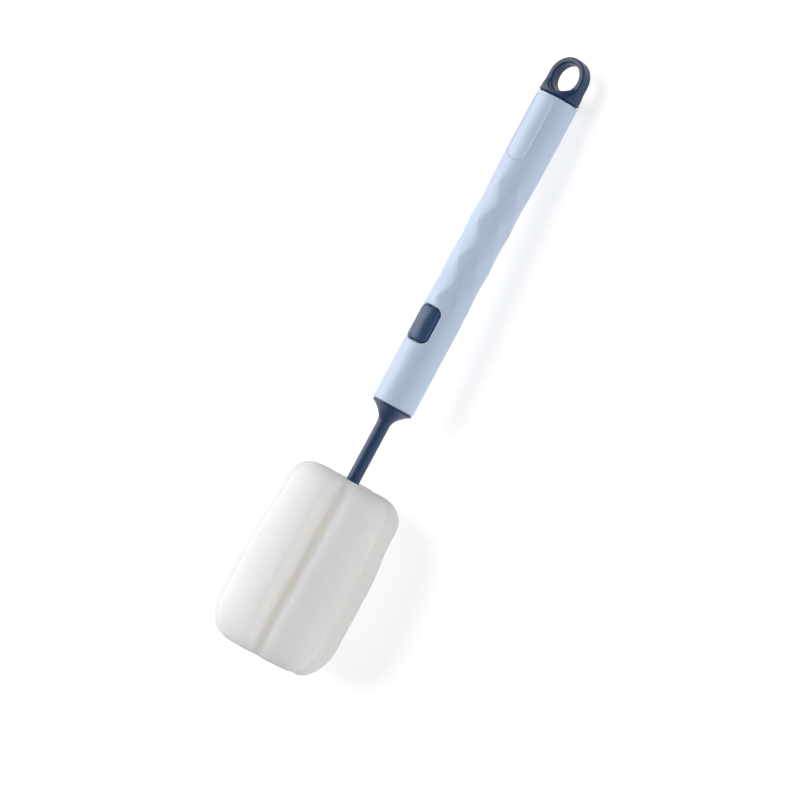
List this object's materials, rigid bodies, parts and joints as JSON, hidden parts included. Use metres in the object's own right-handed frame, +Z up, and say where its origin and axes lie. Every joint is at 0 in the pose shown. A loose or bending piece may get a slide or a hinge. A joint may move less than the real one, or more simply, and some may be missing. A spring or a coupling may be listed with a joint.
{
  "type": "sponge cup brush",
  "caption": "Cup brush: a lobed foam sponge on a plastic rod that snaps into a round faceted handle with a push-button release and a hanging ring.",
  "frame": {"origin": "centre of the bounding box's footprint, on the surface that the brush lies on", "axes": "+Z up; +Y along the brush from the sponge to the hanging ring, whose end lies 4.8 degrees lower; the button's side faces up, turned 6 degrees towards +X"},
  "size_m": [0.0526, 0.2706, 0.0549],
  "materials": {
    "pale_blue_pp": "satin moulded polypropylene, faintly translucent",
    "navy_cap_pp": "satin moulded polypropylene",
    "natural_pom": "natural acetal, inside the handle",
    "spring_steel": "drawn spring wire",
    "navy_button_pp": "satin moulded polypropylene",
    "navy_stem_pp": "satin moulded polypropylene",
    "white_foam": "soft fine-pored foam"
  },
  "bodies": {
    "handle": {"handle_tube": "pale_blue_pp", "hanging_cap": "navy_cap_pp", "latch_sleeve": "natural_pom", "latch_wire": "spring_steel"},
    "button": {"release_button": "navy_button_pp"},
    "head": {"head_stem": "navy_stem_pp", "sponge": "white_foam"}
  },
  "joints": [
    {"name": "button_press", "type": "slide", "parent": "handle", "child": "button", "axis": [-0.1045, -0.0829, -0.9911], "range_m": [0, 0.0016], "stiffness_N_per_m": 1500, "deforming": ["latch_wire"]},
    {"name": "head_release", "type": "slide", "parent": "handle", "child": "head", "axis": [0, -0.9965, 0.0834], "range_m": [0, 0.045], "deforming": ["latch_wire"]}
  ]
}
